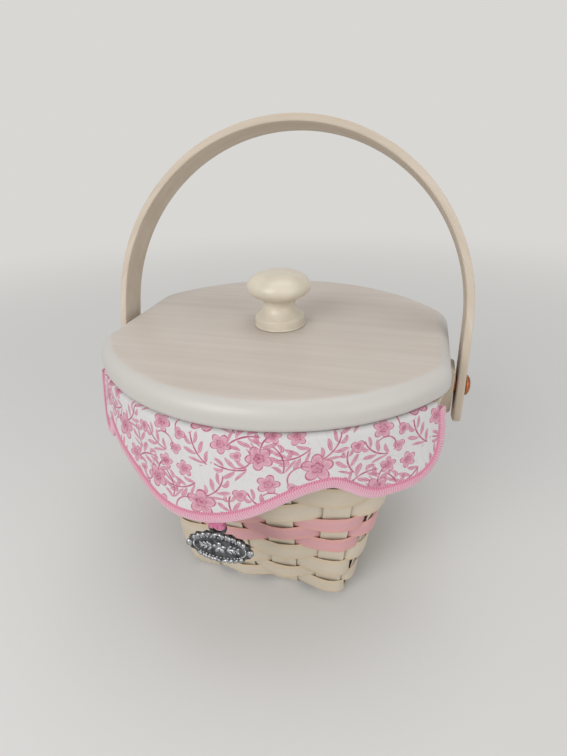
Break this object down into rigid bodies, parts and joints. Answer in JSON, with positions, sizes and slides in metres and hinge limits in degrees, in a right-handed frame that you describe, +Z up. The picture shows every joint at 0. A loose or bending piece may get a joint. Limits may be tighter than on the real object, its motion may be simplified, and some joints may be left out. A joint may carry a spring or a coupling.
{
  "type": "lidded splint basket",
  "caption": "Square-based woven splint basket with a bowed rim, a scalloped cloth liner, a loose wooden lid with a turned knob, a bentwood swing handle and a hanging charm.",
  "frame": {"origin": "middle of the underside of the woven base, on the surface that the basket stands on", "axes": "+Z up; -Y is the front, where the charm hangs; the handle spans X between its two rivets"},
  "size_m": [0.1934, 0.178, 0.2361],
  "materials": {
    "natural_splint": "whitewashed maple splint, matt, long grain",
    "pink_splint": "dusty pink stained splint, matt",
    "bent_wood": "steam-bent hardwood strip, pale, satin",
    "lid_wood": "whitewashed board, satin, rounded edge",
    "ivory_paint": "turned wood painted ivory, satin",
    "screw_steel": "zinc plated",
    "printed_cotton": "white cotton with a pink sprig print",
    "edging_thread": "pink overlock stitching",
    "copper": "copper, worn satin",
    "pewter": "cast pewter, darkened in the recesses",
    "satin_ribbon": "narrow pink ribbon"
  },
  "bodies": {
    "basket_body": {"charm_ribbon": "satin_ribbon", "cross_stake_1": "natural_splint", "cross_stake_2": "natural_splint", "cross_stake_3": "natural_splint", "cross_stake_4": "natural_splint", "foot_weaver_1": "natural_splint", "foot_weaver_2": "natural_splint", "handle_ear_left": "bent_wood", "handle_ear_right": "bent_wood", "inner_rim": "natural_splint", "liner_bag": "printed_cotton", "lower_weaver_1": "natural_splint", "lower_weaver_2": "natural_splint", "outer_rim": "natural_splint", "pink_weaver_1": "pink_splint", "pink_weaver_2": "pink_splint", "pink_weaver_3": "pink_splint", "rivet_left": "copper", "rivet_right": "copper", "side_stake_1": "natural_splint", "side_stake_2": "natural_splint", "side_stake_3": "natural_splint", "side_stake_4": "natural_splint", "skirt_back": "printed_cotton", "skirt_edging_back": "edging_thread", "skirt_edging_front": "edging_thread", "skirt_front": "printed_cotton", "upper_weaver_1": "natural_splint", "upper_weaver_2": "natural_splint", "upper_weaver_3": "natural_splint", "upper_weaver_4": "natural_splint", "washer_left": "copper", "washer_right": "copper"},
    "lid": {"lid_board": "lid_wood", "knob": "ivory_paint", "knob_screw": "screw_steel", "lid_cleat_front": "lid_wood", "lid_cleat_back": "lid_wood"},
    "handle": {"handle": "bent_wood"},
    "charm": {"charm": "pewter"}
  },
  "joints": [
    {"name": "handle_swing", "type": "hinge", "parent": "basket_body", "child": "handle", "pos_m": [0, 0, 0.115], "axis": [1, 0, 0], "range_deg": [-73, 107]},
    {"name": "lid_lift", "type": "slide", "parent": "basket_body", "child": "lid", "axis": [0, -0.8572, 0.515], "range_m": [0, 0.18]},
    {"name": "charm_swing", "type": "hinge", "parent": "basket_body", "child": "charm", "pos_m": [-0.0064, -0.08444, 0.08186], "axis": [1, 0, 0], "range_deg": [-40, 20]}
  ]
}
